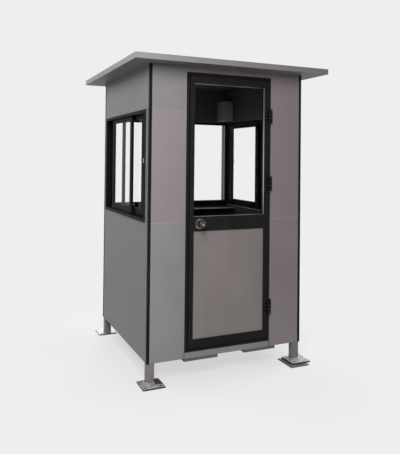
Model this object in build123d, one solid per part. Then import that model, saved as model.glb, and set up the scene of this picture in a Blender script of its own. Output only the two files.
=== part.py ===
from build123d import *
import os

# A one-person security guard booth on four steel legs. Millimetres, +Z up, door wall facing -Y.
# The origin is the centre of the footprint at ground level.

# Overall sizes
body_width = 1250.0
body_depth = 1250.0
ground_clearance = 145.0
wall_height = 2087.0
roof_thickness = 40.0
roof_overhang = 150.0

# Wall build-up, from the outside in
skin_thickness = 4.0
post_size = 55.0
post_wall = 2.5
post_corner_radius = 4.0
lining_thickness = 6.0
panel_joint = 2.0
lining_joint = 1.5

# Corner trims
trim_leg = 20.0
trim_thickness = 1.5

# Feet
plate_size = 160.0
plate_thickness = 10.0
plate_offset = 35.0
plate_hole_diameter = 14.0
plate_hole_spacing = 110.0
packing_thickness = 6.0
packing_width = 160.0
packing_length = 198.0
packing_shift_left = 37.0
packing_shift_front = 21.0

# Floor
floor_rail_height = 33.0
floor_board_thickness = 12.0
bearer_thickness = 22.0
bearer_width = 265.0
left_bearer_centre = -213.5
right_bearer_centre = 269.5
joist_width = 40.0

# Roof
top_rail_height = 40.0
soffit_thickness = 4.0
fascia_thickness = 3.0

# Gap round a frame in its wall
fit_gap = 1.0

# Windows
window_corner_gap = 2.0
window_sill_rise = 970.0
window_head_drop = 317.0
window_frame_face = 22.0
window_frame_proud = 8.0
fixed_frame_side = 12.0
fixed_frame_bottom = 50.0
fixed_frame_top = 17.0
window_rail_height = 40.0
track_gap = 2.0
first_track = 22.0
sash_thickness = 18.0
sash_side_play = 1.0
sash_engagement = 8.0
track_groove = 10.0
sash_stile = 45.0
sash_bottom_rail = 58.0
sash_top_rail = 40.0
pane_thickness = 5.0
pane_engagement = 8.0
pane_play = 0.5
left_outer_sash_open = 130.0
left_inner_sash_open = 162.0
left_meeting_middle = 0.0
left_meeting_lap = 45.0
right_meeting_middle = -36.0
right_meeting_lap = 14.0

# Window latch keepers
keeper_height = 34.0
keeper_width = 9.0
keeper_thickness = 4.0
keeper_corner_radius = 3.0
keeper_overlap = 6.5
keeper_above_middle = 35.0

# Door
door_width = 694.0
door_header = 42.0
door_frame_face = 20.0
door_frame_proud = 5.0
door_gap = 5.0
leaf_thickness = 40.0
leaf_proud = 10.0
leaf_stile = 34.0
leaf_top_rail = 56.0
leaf_bottom_rail = 61.0
leaf_middle_rail = 104.0
leaf_middle_rail_rise = 834.0
door_glass_setback = 18.0
door_glass_thickness = 6.0
door_panel_setback = 8.0
door_panel_thickness = 20.0
door_bead_thickness = 3.0
door_bead_lip = 3.5
stop_width = 17.0
stud_width = 40.0

# Hinges
hinge_height = 110.0
hinge_knuckles = 5
hinge_knuckle_radius = 7.0
hinge_pin_radius = 3.0
hinge_pin_play = 0.05
hinge_knuckle_gap = 0.5
hinge_plate = 2.5
hinge_door_plate_width = 30.0
hinge_frame_plate_width = 29.0
hinge_plate_gap = 1.0
hinge_stand_off = 1.0
lower_hinge_rise = 234.0
middle_hinge_rise = 283.0
upper_hinge_drop = 269.0

# Knob lock
knob_backset = 80.0
rose_radius = 37.0
rose_thickness = 6.0
rose_gap = 0.5
knob_radius = 30.0
knob_length = 42.0
knob_neck_radius = 12.0
knob_flat_radius = 9.0
knob_reach = 66.0
knob_bore_play = 2.0

# Shelf along the back wall
shelf_depth = 190.0
shelf_thickness = 18.0
shelf_drop = 5.0

# Junction box in the upper right-hand corner of the back wall
box_width = 100.0
box_depth = 140.0
box_height = 190.0
box_drop = 112.0
box_corner_gap = 3.0
box_corner_radius = 6.0
box_lid_thickness = 12.0
box_lid_step = 2.5

hairline = 0.3

# Levels and planes worked out from the sizes above
wall_bottom = ground_clearance
wall_top = wall_bottom + wall_height
roof_top = wall_top + roof_thickness
floor_top = wall_bottom + floor_rail_height + floor_board_thickness
window_bottom = wall_bottom + window_sill_rise
window_top = wall_top - window_head_drop
door_bottom = floor_top
door_top = wall_top - door_header
post_outer = skin_thickness
post_inner = skin_thickness + post_size
wall_thickness = post_inner + lining_thickness


def slab(x0, x1, y0, y1, z0, z1):
    """A box from corner to corner."""
    corner = Pos(x0, y0, z0)
    return corner * Box(x1 - x0, y1 - y0, z1 - z0, align=(Align.MIN, Align.MIN, Align.MIN))


def group(solids):
    """Separate solids that share one node."""
    return Compound(children=[shape for shape in solids])


def wall_frame(name):
    """Length of a wall, and the move that takes wall coordinates to the booth's.

    In wall coordinates x runs along the wall to the right of someone outside it, y runs into the
    booth from the outer face, and z is the height above the ground.
    """
    walls = {
        "front": (body_width, body_depth / 2, 0),
        "right": (body_depth, body_width / 2, 90),
        "back": (body_width, body_depth / 2, 180),
        "left": (body_depth, body_width / 2, -90),
    }
    length, reach, turn = walls[name]
    return length, Rot(0, 0, turn) * Pos(0, -reach, 0)


def skin_half_length(name):
    """Side skins butt against the backs of the front and back skins."""
    length, _ = wall_frame(name)
    if name in ("left", "right"):
        return length / 2 - skin_thickness
    return length / 2


def lining_half_length(name):
    """Side linings butt against the front and back linings."""
    length, _ = wall_frame(name)
    if name in ("left", "right"):
        return length / 2 - wall_thickness
    return length / 2 - post_inner


def post_clear_half_length(name):
    """Half of the clear length between two corner posts."""
    length, _ = wall_frame(name)
    return length / 2 - post_inner


def window_half_width(name):
    """A window reaches from one adjoining wall to the other, less a small gap at each corner."""
    length, _ = wall_frame(name)
    return length / 2 - wall_thickness - window_corner_gap


def place(name, shapes):
    """Move shapes from wall coordinates to the booth."""
    _, move = wall_frame(name)
    return [move * shape for shape in shapes]


def corners():
    """Name and sign of each corner."""
    return {
        "front_left": (-1, -1),
        "front_right": (1, -1),
        "rear_left": (-1, 1),
        "rear_right": (1, 1),
    }


def post_centre(sign_x, sign_y):
    inset = post_outer + post_size / 2
    return sign_x * (body_width / 2 - inset), sign_y * (body_depth / 2 - inset)


# ---- legs, feet and steel frame ----


def foot_lift(sign_x, sign_y):
    """How far a packing plate lifts a foot off the ground: only the front right one has it."""
    return packing_thickness if (sign_x, sign_y) == (1, -1) else 0.0


def corner_post(sign_x, sign_y):
    """Square tube from the foot plate to the underside of the roof."""
    x, y = post_centre(sign_x, sign_y)
    outline = RectangleRounded(post_size, post_size, post_corner_radius)
    inner_size = post_size - 2 * post_wall
    inside = RectangleRounded(inner_size, inner_size, post_corner_radius - post_wall)
    foot = foot_lift(sign_x, sign_y) + plate_thickness
    tube = extrude(outline - inside, wall_top - foot)
    return Pos(x, y, foot) * tube


def base_plate(sign_x, sign_y):
    """Foot plate with four bolt holes, welded under the post and reaching outwards."""
    x, y = post_centre(sign_x, sign_y)
    outline = RectangleRounded(plate_size, plate_size, post_corner_radius)
    plate = extrude(outline - plate_holes(), plate_thickness)
    return Pos(x, y + sign_y * plate_offset, foot_lift(sign_x, sign_y)) * plate


def plate_holes():
    return GridLocations(plate_hole_spacing, plate_hole_spacing, 2, 2) * Circle(plate_hole_diameter / 2)


def packing_plate():
    """Longer plate under the front right foot, standing out to its left and front."""
    x, y = post_centre(1, -1)
    outline = RectangleRounded(packing_width, packing_length, post_corner_radius)
    shape = Pos(-packing_shift_left, -packing_shift_front) * outline - plate_holes()
    return Pos(x, y - plate_offset, 0) * extrude(shape, packing_thickness)


def rails_between_posts(names, z0, z1):
    """One tube along each named wall, between its two corner posts."""
    rails = []
    for name in names:
        half = post_clear_half_length(name)
        rails += place(name, [slab(-half, half, post_outer, post_inner, z0, z1)])
    return rails


def floor_frame():
    top = wall_bottom + floor_rail_height
    return rails_between_posts(("front", "right", "back", "left"), wall_bottom, top)


def roof_frame():
    bottom = wall_top - top_rail_height
    return rails_between_posts(("front", "right", "back", "left"), bottom, wall_top)


def window_wall_rails():
    """The tubes under and over each window."""
    names = ("right", "back", "left")
    sills = rails_between_posts(names, window_bottom - window_rail_height, window_bottom)
    heads = rails_between_posts(names, window_top, window_top + window_rail_height)
    return sills + heads


def door_studs():
    """The two tubes that the door frame is fixed to."""
    inner = door_width / 2 + fit_gap
    bottom = floor_top
    top = wall_top - top_rail_height
    studs = [slab(inner, inner + stud_width, post_outer, post_inner, bottom, top)]
    studs += [slab(-inner - stud_width, -inner, post_outer, post_inner, bottom, top)]
    return place("front", studs)


def floor_bearers():
    """Two flat bearers from front to back under the floor frame."""
    half = body_depth / 2
    bottom = wall_bottom - bearer_thickness
    bearers = []
    for centre in (left_bearer_centre, right_bearer_centre):
        x0 = centre - bearer_width / 2
        bearers.append(slab(x0, x0 + bearer_width, -half, half, bottom, wall_bottom))
    return bearers


def floor_joists():
    """Two joists that carry the floor board from the bearers."""
    half = body_depth / 2 - post_inner
    joists = []
    for centre in (left_bearer_centre, right_bearer_centre):
        x0 = centre - joist_width / 2
        z1 = wall_bottom + floor_rail_height
        joists.append(slab(x0, x0 + joist_width, -half, half, wall_bottom, z1))
    return joists


def floor_board():
    """Floor board over the floor frame, notched round the corner posts."""
    half_x = body_width / 2 - post_outer
    half_y = body_depth / 2 - post_outer
    z0 = wall_bottom + floor_rail_height
    board = slab(-half_x, half_x, -half_y, half_y, z0, floor_top)
    for sign_x, sign_y in corners().values():
        x, y = post_centre(sign_x, sign_y)
        board -= Pos(x, y, (z0 + floor_top) / 2) * Box(post_size, post_size, 2 * floor_board_thickness)
    return board


# ---- cladding ----


def skin_panel(name, x0, x1, z0, z1):
    return place(name, [slab(x0, x1, 0, skin_thickness, z0, z1)])


def lower_panel(name):
    half = skin_half_length(name)
    return skin_panel(name, -half, half, wall_bottom, window_bottom - panel_joint / 2)


def upper_panel(name):
    half = skin_half_length(name)
    return skin_panel(name, -half, half, window_top + panel_joint / 2, wall_top)


def side_strips(name):
    """The skin on each side of a window."""
    half = skin_half_length(name)
    inner = window_half_width(name) + fit_gap
    z0 = window_bottom + panel_joint / 2
    z1 = window_top - panel_joint / 2
    return skin_panel(name, -half, -inner, z0, z1) + skin_panel(name, inner, half, z0, z1)


def front_side_panel(side):
    """Front skin beside the door, in three heights that line up with the windows."""
    inner = door_width / 2 + fit_gap
    outer = skin_half_length("front")
    x0, x1 = sorted((side * inner, side * outer))
    lowest = skin_panel("front", x0, x1, wall_bottom, window_bottom - panel_joint / 2)
    middle = skin_panel("front", x0, x1, window_bottom + panel_joint / 2, window_top - panel_joint / 2)
    highest = skin_panel("front", x0, x1, window_top + panel_joint / 2, wall_top)
    return lowest + middle + highest


def front_header_panel():
    half = door_width / 2
    return skin_panel("front", -half, half, door_top + fit_gap, wall_top)


def threshold_panel():
    half = door_width / 2
    return skin_panel("front", -half, half, wall_bottom, door_bottom - fit_gap)


def window_wall_lining(name):
    """Inner lining below, above and beside a window."""
    half = lining_half_length(name)
    inner = window_half_width(name) + fit_gap
    low = window_bottom - lining_joint
    high = window_top + lining_joint
    y0 = post_inner
    y1 = wall_thickness
    pieces = [slab(-half, half, y0, y1, floor_top, low)]
    pieces += [slab(-half, half, y0, y1, high, wall_top)]
    pieces += [slab(-half, -inner, y0, y1, low + lining_joint, high - lining_joint)]
    pieces += [slab(inner, half, y0, y1, low + lining_joint, high - lining_joint)]
    return place(name, pieces)


def front_wall_lining():
    """Inner lining beside and above the door."""
    half = lining_half_length("front")
    inner = door_width / 2 + fit_gap
    y0 = post_inner
    y1 = wall_thickness
    pieces = [slab(-half, -inner, y0, y1, floor_top, wall_top)]
    pieces += [slab(inner, half, y0, y1, floor_top, wall_top)]
    over = inner - lining_joint
    pieces += [slab(-over, over, y0, y1, door_top + fit_gap, wall_top)]
    return place("front", pieces)


def ceiling_lining():
    """Inner lining under the soffit, between the wall linings."""
    half_x = body_width / 2 - wall_thickness - lining_joint
    half_y = body_depth / 2 - wall_thickness - lining_joint
    return slab(-half_x, half_x, -half_y, half_y, wall_top - lining_thickness, wall_top)


def corner_trim(sign_x, sign_y):
    """L-shaped trim lapped over the two skins at a corner."""
    square = Rectangle(trim_leg, trim_leg, align=(Align.MIN, Align.MIN))
    angle = extrude(square - Pos(trim_thickness, trim_thickness) * square, wall_height)
    turns = {(-1, -1): 0, (1, -1): 90, (1, 1): 180, (-1, 1): 270}
    x = sign_x * (body_width / 2 + trim_thickness)
    y = sign_y * (body_depth / 2 + trim_thickness)
    return Pos(x, y, wall_bottom) * Rot(0, 0, turns[(sign_x, sign_y)]) * angle


# ---- roof ----


def roof_half_sizes():
    return body_width / 2 + roof_overhang, body_depth / 2 + roof_overhang


def soffit_panel():
    half_x, half_y = roof_half_sizes()
    half_x -= fascia_thickness
    half_y -= fascia_thickness
    return slab(-half_x, half_x, -half_y, half_y, wall_top, wall_top + soffit_thickness)


def roof_deck():
    half_x, half_y = roof_half_sizes()
    half_x -= fascia_thickness
    half_y -= fascia_thickness
    return slab(-half_x, half_x, -half_y, half_y, wall_top + soffit_thickness, roof_top)


def roof_fascias():
    """Four edge plates round the roof, the side ones between the front and back ones."""
    half_x, half_y = roof_half_sizes()
    inner_x = half_x - fascia_thickness
    inner_y = half_y - fascia_thickness
    side = inner_y - hairline
    plates = [slab(-half_x, half_x, -half_y, -inner_y, wall_top, roof_top)]
    plates += [slab(-half_x, half_x, inner_y, half_y, wall_top, roof_top)]
    plates += [slab(-half_x, -inner_x, -side, side, wall_top, roof_top)]
    plates += [slab(inner_x, half_x, -side, side, wall_top, roof_top)]
    return plates


# ---- rectangular frames and panes, in wall coordinates ----


def ring(x0, x1, z0, z1, side, bottom, top, y0, y1):
    """Two uprights and two cross bars, joined at hairlines."""
    bars = [slab(x0, x0 + side, y0, y1, z0, z1)]
    bars += [slab(x1 - side, x1, y0, y1, z0, z1)]
    left = x0 + side + hairline
    right = x1 - side - hairline
    bars += [slab(left, right, y0, y1, z0, z0 + bottom)]
    bars += [slab(left, right, y0, y1, z1 - top, z1)]
    return bars


def grooved(bars, pocket):
    """Cut the pocket that a pane or sash sits in out of every bar."""
    return [bar - pocket for bar in bars]


def frame_faces(name):
    """Face widths of a window frame's sides, bottom and top."""
    if name == "back":
        return fixed_frame_side, fixed_frame_bottom, fixed_frame_top
    return window_frame_face, window_frame_face, window_frame_face


def window_clear(name):
    """Half width, bottom and top of the clear opening inside a window frame."""
    side, bottom, top = frame_faces(name)
    return window_half_width(name) - side, window_bottom + bottom, window_top - top


def window_frame_bars(name):
    half = window_half_width(name)
    y0 = -window_frame_proud
    y1 = wall_thickness
    return ring(-half, half, window_bottom, window_top, *frame_faces(name), y0, y1)


def track(number):
    """Where the near and far faces of a sash in this track lie."""
    pitch = sash_thickness + 2 * sash_side_play + track_gap
    y0 = first_track - window_frame_proud + sash_side_play + number * pitch
    return y0, y0 + sash_thickness


def sliding_window_frame(name):
    """Frame with two grooves all round, one for each sash."""
    half, low, high = window_clear(name)
    bars = window_frame_bars(name)
    for number in (0, 1):
        y0, y1 = track(number)
        reach = track_groove
        pocket = slab(
            -half - reach,
            half + reach,
            y0 - sash_side_play,
            y1 + sash_side_play,
            low - reach,
            high + reach,
        )
        bars = grooved(bars, pocket)
    return place(name, bars)


def meeting_ends(name):
    """Where the sash on the plus side and the one on the minus side end when they are closed."""
    middle, lap = left_meeting_middle, left_meeting_lap
    if name == "right":
        middle, lap = right_meeting_middle, right_meeting_lap
    return middle - lap / 2, middle + lap / 2


def sash_span(name, side, shift):
    """Ends of a sash that closes against one jamb, moved off it by the shift."""
    half, _, _ = window_clear(name)
    jamb_end = half + sash_engagement
    plus_end, minus_end = meeting_ends(name)
    if side > 0:
        return plus_end - shift, jamb_end - shift
    return shift - jamb_end, shift + minus_end


def pane_box(x0, x1, z0, z1, y_mid, thickness, play):
    y0 = y_mid - thickness / 2 - play
    y1 = y_mid + thickness / 2 + play
    return slab(x0 - play, x1 + play, y0, y1, z0 - play, z1 + play)


def sash(name, number, side, shift):
    """Stiles and rails of a sash, and its pane."""
    _, low, high = window_clear(name)
    x0, x1 = sash_span(name, side, shift)
    z0 = low - sash_engagement
    z1 = high + sash_engagement
    y0, y1 = track(number)
    bars = ring(x0, x1, z0, z1, sash_stile, sash_bottom_rail, sash_top_rail, y0, y1)
    edge = pane_engagement
    pane = (
        x0 + sash_stile - edge,
        x1 - sash_stile + edge,
        z0 + sash_bottom_rail - edge,
        z1 - sash_top_rail + edge,
        (y0 + y1) / 2,
        pane_thickness,
    )
    bars = grooved(bars, pane_box(*pane, pane_play))
    return bars, pane_box(*pane, 0)


def sliding_window(name, outer_side, outer_shift, inner_shift):
    """Both sashes and both panes of a two-track window."""
    outer_bars, outer_pane = sash(name, 0, outer_side, outer_shift)
    inner_bars, inner_pane = sash(name, 1, -outer_side, inner_shift)
    return place(name, outer_bars + inner_bars), place(name, [outer_pane, inner_pane])


def window_keeper(name, side):
    """Rounded plate on a jamb's outer face that the sash latch hooks behind."""
    half, low, high = window_clear(name)
    outline = RectangleRounded(keeper_width, keeper_height, keeper_corner_radius)
    x = half + keeper_overlap - keeper_width / 2
    z = (low + high) / 2 + keeper_above_middle
    plate = Rot(90, 0, 0) * extrude(outline, keeper_thickness)
    return place(name, [Pos(side * x, -window_frame_proud, z) * plate])


def fixed_window(name):
    """Frame with one pane let into it."""
    half, low, high = window_clear(name)
    y_mid = (wall_thickness - window_frame_proud) / 2
    edge = pane_engagement
    pane = (-half - edge, half + edge, low - edge, high + edge, y_mid, pane_thickness)
    bars = grooved(window_frame_bars(name), pane_box(*pane, pane_play))
    return place(name, bars), place(name, [pane_box(*pane, 0)])


# ---- door ----


def leaf_edges():
    """Left, right, bottom and top of the door leaf."""
    margin = door_frame_face + door_gap
    half = door_width / 2 - margin
    return -half, half, door_bottom + margin, door_top - margin


def door_frame():
    half = door_width / 2
    face = door_frame_face
    bars = ring(-half, half, door_bottom, door_top, face, face, face, -door_frame_proud, wall_thickness)
    return place("front", bars)


def door_stops():
    """Strips that the closed leaf shuts against, behind it on the sides and the head."""
    half = door_width / 2 - door_frame_face
    bottom = door_bottom + door_frame_face
    top = door_top - door_frame_face
    _, leaf_back = leaf_depth()
    y0 = leaf_back + door_gap
    y1 = wall_thickness
    inner = half - stop_width
    low = bottom + hairline
    strips = [slab(-half, -inner, y0, y1, low, top)]
    strips += [slab(inner, half, y0, y1, low, top)]
    strips += [slab(-inner + hairline, inner - hairline, y0, y1, top - stop_width, top)]
    return place("front", strips)


def leaf_depth():
    """Outer and inner faces of the leaf, which stands a little in front of its frame."""
    y0 = -door_frame_proud - leaf_proud
    return y0, y0 + leaf_thickness


def middle_rail_levels():
    _, _, z0, _ = leaf_edges()
    low = z0 + leaf_middle_rail_rise
    return low, low + leaf_middle_rail


def door_glass_place():
    """Edges of the glass and the middle of its thickness."""
    x0, x1, _, z1 = leaf_edges()
    _, rail_top = middle_rail_levels()
    edge = pane_engagement
    y0, _ = leaf_depth()
    y_mid = y0 + door_glass_setback + door_glass_thickness / 2
    low = rail_top - edge
    high = z1 - leaf_top_rail + edge
    return x0 + leaf_stile - edge, x1 - leaf_stile + edge, low, high, y_mid, door_glass_thickness


def door_panel_place():
    """Edges of the lower panel and the middle of its thickness."""
    x0, x1, z0, _ = leaf_edges()
    rail_bottom, _ = middle_rail_levels()
    edge = pane_engagement
    y0, _ = leaf_depth()
    y_mid = y0 + door_panel_setback + door_panel_thickness / 2
    low = z0 + leaf_bottom_rail - edge
    high = rail_bottom + edge
    return x0 + leaf_stile - edge, x1 - leaf_stile + edge, low, high, y_mid, door_panel_thickness


def knob_axis():
    """Where the knob's spindle crosses the leaf."""
    x0, _, _, _ = leaf_edges()
    return x0 + knob_backset, sum(middle_rail_levels()) / 2


def along_wall_depth(radius, y0, y1):
    """A round bar along the wall's depth at the knob's place."""
    x, z = knob_axis()
    bar = Cylinder(radius, y1 - y0, align=(Align.CENTER, Align.CENTER, Align.MIN))
    return Pos(x, y0, z) * Rot(-90, 0, 0) * bar


def door_leaf_bars():
    """Stiles, and the three rails between them, grooved for the glass and the panel."""
    x0, x1, z0, z1 = leaf_edges()
    y0, y1 = leaf_depth()
    stiles = [slab(x0, x0 + leaf_stile, y0, y1, z0, z1)]
    stiles += [slab(x1 - leaf_stile, x1, y0, y1, z0, z1)]
    left = x0 + leaf_stile
    right = x1 - leaf_stile
    rails = [slab(left, right, y0, y1, z0, z0 + leaf_bottom_rail)]
    rails += [slab(left, right, y0, y1, *middle_rail_levels())]
    rails += [slab(left, right, y0, y1, z1 - leaf_top_rail, z1)]
    pockets = [pane_box(*door_glass_place(), pane_play), pane_box(*door_panel_place(), pane_play)]
    for pocket in pockets + [slab(*door_bead_place())]:
        stiles = grooved(stiles, pocket)
        rails = grooved(rails, pocket)
    bore = along_wall_depth(knob_neck_radius + knob_bore_play, y0 - 1, y1 + 1)
    rails = grooved(rails, bore)
    return place("front", stiles), place("front", rails)


def door_glass():
    return place("front", [pane_box(*door_glass_place(), 0)])


def door_lower_panel():
    return place("front", [pane_box(*door_panel_place(), 0)])


def door_bead_place():
    """Outer box of the bead, let into the edges of the glass opening behind a lip."""
    x0, x1, _, z1 = leaf_edges()
    _, low = middle_rail_levels()
    high = z1 - leaf_top_rail
    y0, _ = leaf_depth()
    depth = door_bead_thickness
    left = x0 + leaf_stile - depth
    right = x1 - leaf_stile + depth
    return left, right, y0 + door_bead_lip, y0 + door_glass_setback, low - depth, high + depth


def door_glass_bead():
    """Bead round the front of the glass, lining the reveal."""
    left, right, front, back, low, high = door_bead_place()
    face = door_bead_thickness
    return place("front", ring(left, right, low, high, face, face, face, front, back))


# ---- hinges ----


def hinge_axis():
    """The pins stand in front of the gap between the leaf and its frame."""
    _, x1, _, _ = leaf_edges()
    y0, _ = leaf_depth()
    return x1 + door_gap / 2, y0 - hinge_knuckle_radius - hinge_stand_off


def upright_bar(radius, z0, z1):
    x, y = hinge_axis()
    return Pos(x, y, z0) * Cylinder(radius, z1 - z0, align=(Align.CENTER, Align.CENTER, Align.MIN))


def hinge_centres():
    """Heights of the lower, middle and upper hinge."""
    _, _, z0, z1 = leaf_edges()
    rail_centre = sum(middle_rail_levels()) / 2
    return z0 + lower_hinge_rise, rail_centre + middle_hinge_rise, z1 - upper_hinge_drop


def hinge_plate_span(on_frame):
    """Ends of a hinge plate, on its own side of the pin."""
    x, _ = hinge_axis()
    if on_frame:
        return x + hinge_plate_gap / 2, door_width / 2 - door_frame_face + hinge_frame_plate_width
    return x - door_gap / 2 - hinge_door_plate_width, x - hinge_plate_gap / 2


def hinge_half(centre, on_frame):
    """One leaf of a butt hinge: a plate with its share of the knuckles, and the pin on the frame's.

    The frame's plate is thicker, so that both fronts lie in one plane.
    """
    pitch = hinge_height / hinge_knuckles
    z0 = centre - hinge_height / 2
    z1 = z0 + hinge_height
    y0, _ = leaf_depth()
    face = -door_frame_proud if on_frame else y0
    half = slab(*hinge_plate_span(on_frame), y0 - hinge_plate, face, z0, z1)
    axis_x, axis_y = hinge_axis()
    for number in range(hinge_knuckles):
        low = z0 + number * pitch
        high = low + pitch
        own = number % 2 == (0 if on_frame else 1)
        if own:
            low += hinge_knuckle_gap / 2
            high -= hinge_knuckle_gap / 2
            half += upright_bar(hinge_knuckle_radius, low, high)
            edge = axis_x if on_frame else axis_x - hinge_knuckle_radius
            half += slab(edge, edge + hinge_knuckle_radius, axis_y, y0, low, high)
        else:
            low -= hinge_knuckle_gap / 2
            high += hinge_knuckle_gap / 2
            half -= upright_bar(hinge_knuckle_radius + hinge_stand_off, low, high)
    if on_frame:
        return half + upright_bar(hinge_pin_radius, z0 + hinge_knuckle_gap, z1 - hinge_knuckle_gap)
    return half - upright_bar(hinge_pin_radius + hinge_pin_play, z0 - 1, z1 + 1)


def hinge_halves(on_frame):
    return place("front", [hinge_half(centre, on_frame) for centre in hinge_centres()])


# ---- knob lock ----


def lock_roses():
    """Round plates on both faces of the middle rail."""
    y0, y1 = leaf_depth()
    outer = along_wall_depth(rose_radius, y0 - rose_thickness, y0)
    inner = along_wall_depth(rose_radius, y1, y1 + rose_thickness)
    past = rose_thickness + 1
    bore = along_wall_depth(knob_neck_radius + rose_gap, y0 - past, y1 + past)
    return place("front", [outer - bore, inner - bore])


def knob_profile():
    """Half outline of a knob, from the leaf outwards: neck, full round body and small flat end."""
    start = knob_reach - knob_length
    widest = knob_reach - knob_length / 2
    with BuildSketch(Plane.XZ) as outline:
        with BuildLine():
            a = Line((0, 0), (knob_neck_radius, 0))
            b = Line(a @ 1, (knob_neck_radius, start))
            c = Spline(b @ 1, (knob_radius, widest), tangents=((0.9, 0.45), (0, 1)))
            d = Spline(c @ 1, (knob_flat_radius, knob_reach), tangents=((0, 1), (-1, 0.05)))
            e = Line(d @ 1, (0, knob_reach))
            Line(e @ 1, (0, 0))
        make_face()
    return outline.sketch


def door_knobs():
    """The outer and inner knobs on one spindle."""
    x, z = knob_axis()
    y0, y1 = leaf_depth()
    turned = revolve(knob_profile(), axis=Axis.Z)
    outer = Pos(x, y0, z) * Rot(90, 0, 0) * turned
    inner = Pos(x, y1, z) * Rot(-90, 0, 0) * turned
    spindle = along_wall_depth(knob_neck_radius, y0 - 1, y1 + 1)
    return place("front", [outer + inner + spindle])


# ---- shelf ----


def back_shelf():
    """Narrow writing shelf under the back window."""
    half = body_width / 2 - wall_thickness
    y0 = wall_thickness
    top = window_bottom - shelf_drop
    return place("back", [slab(-half, half, y0, y0 + shelf_depth, top - shelf_thickness, top)])


def junction_box():
    """Electrical box with a lid on the back wall, beside the ceiling."""
    right = box_corner_gap + wall_thickness - body_width / 2
    centre = Pos(right + box_width / 2, wall_thickness, wall_top - box_drop - box_height / 2)
    outline = RectangleRounded(box_width, box_height, box_corner_radius)
    step = 2 * box_lid_step
    inset = RectangleRounded(box_width - step, box_height - step, box_corner_radius - box_lid_step)
    body = extrude(inset, box_depth)
    lid = Pos(0, 0, box_depth - box_lid_thickness) * extrude(outline, box_lid_thickness)
    return place("back", [centre * Rot(-90, 0, 0) * (body + lid)])


# ---- nodes ----


def build_nodes():
    nodes = {}
    for name, signs in corners().items():
        nodes[name + "_post"] = [corner_post(*signs)]
    nodes["base_plates"] = [base_plate(*signs) for signs in corners().values()]
    nodes["front_right_packing_plate"] = [packing_plate()]
    nodes["floor_frame"] = floor_frame()
    nodes["floor_bearers"] = floor_bearers()
    nodes["floor_joists"] = floor_joists()
    nodes["floor_board"] = [floor_board()]
    nodes["roof_frame"] = roof_frame()
    nodes["wall_frame"] = window_wall_rails() + door_studs()
    strips = []
    for name in ("left", "right", "back"):
        nodes[name + "_lower_panel"] = lower_panel(name)
        nodes[name + "_upper_panel"] = upper_panel(name)
        nodes[name + "_wall_lining"] = window_wall_lining(name)
        strips += side_strips(name)
    nodes["window_side_strips"] = strips
    nodes["front_left_panel"] = front_side_panel(-1)
    nodes["front_right_panel"] = front_side_panel(1)
    nodes["front_header_panel"] = front_header_panel()
    nodes["threshold_panel"] = threshold_panel()
    nodes["front_wall_lining"] = front_wall_lining()
    nodes["ceiling_lining"] = [ceiling_lining()]
    nodes["corner_trims"] = [corner_trim(*signs) for signs in corners().values()]
    nodes["soffit_panel"] = [soffit_panel()]
    nodes["roof_deck"] = [roof_deck()]
    nodes["roof_fascia"] = roof_fascias()
    openings = {"left": (-1, left_outer_sash_open, left_inner_sash_open), "right": (-1, 0, 0)}
    keepers = []
    for name, (outer_side, outer_shift, inner_shift) in openings.items():
        nodes[name + "_window_frame"] = sliding_window_frame(name)
        sashes, panes = sliding_window(name, outer_side, outer_shift, inner_shift)
        nodes[name + "_window_sashes"] = sashes
        nodes[name + "_window_glass"] = panes
        keepers += window_keeper(name, -outer_side)
    nodes["window_keepers"] = keepers
    nodes["back_window_frame"], nodes["back_window_glass"] = fixed_window("back")
    nodes["back_shelf"] = back_shelf()
    nodes["junction_box"] = junction_box()
    nodes["door_frame"] = door_frame()
    nodes["door_stops"] = door_stops()
    nodes["hinge_frame_plates"] = hinge_halves(True)
    nodes["hinge_door_plates"] = hinge_halves(False)
    nodes["door_stiles"], nodes["door_rails"] = door_leaf_bars()
    nodes["door_glass"] = door_glass()
    nodes["door_glass_bead"] = door_glass_bead()
    nodes["door_lower_panel"] = door_lower_panel()
    nodes["lock_roses"] = lock_roses()
    nodes["door_knobs"] = door_knobs()
    return nodes


os.makedirs("parts", exist_ok=True)
for node, solids in build_nodes().items():
    shape = solids[0] if len(solids) == 1 else group(solids)
    export_step(shape, os.path.join("parts", node + ".step"))
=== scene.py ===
import math

import bmesh
import bpy
from mathutils import Matrix, Vector


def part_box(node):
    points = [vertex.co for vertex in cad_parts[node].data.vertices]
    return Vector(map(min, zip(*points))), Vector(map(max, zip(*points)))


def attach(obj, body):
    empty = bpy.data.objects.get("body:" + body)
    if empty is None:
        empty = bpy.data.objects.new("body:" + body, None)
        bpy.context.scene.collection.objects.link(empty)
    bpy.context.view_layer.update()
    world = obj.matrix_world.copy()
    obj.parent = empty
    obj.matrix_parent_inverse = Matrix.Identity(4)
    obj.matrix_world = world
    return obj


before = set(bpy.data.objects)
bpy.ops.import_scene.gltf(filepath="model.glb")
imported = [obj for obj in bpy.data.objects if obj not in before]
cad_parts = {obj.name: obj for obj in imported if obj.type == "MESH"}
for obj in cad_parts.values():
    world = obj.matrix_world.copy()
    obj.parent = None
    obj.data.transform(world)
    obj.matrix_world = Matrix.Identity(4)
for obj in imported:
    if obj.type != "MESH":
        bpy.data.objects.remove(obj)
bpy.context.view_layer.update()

MM = 0.001


# ---- helpers ----


def linear(colour):
    """An sRGB hex colour as the linear colour that shaders take."""
    levels = [int(colour[i:i + 2], 16) / 255 for i in (1, 3, 5)]
    return [c / 12.92 if c <= 0.04045 else ((c + 0.055) / 1.055) ** 2.4 for c in levels] + [1.0]


def per(size):
    """The scale of a pattern whose grains are this many millimetres across."""
    return 1 / (size * MM)


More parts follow.
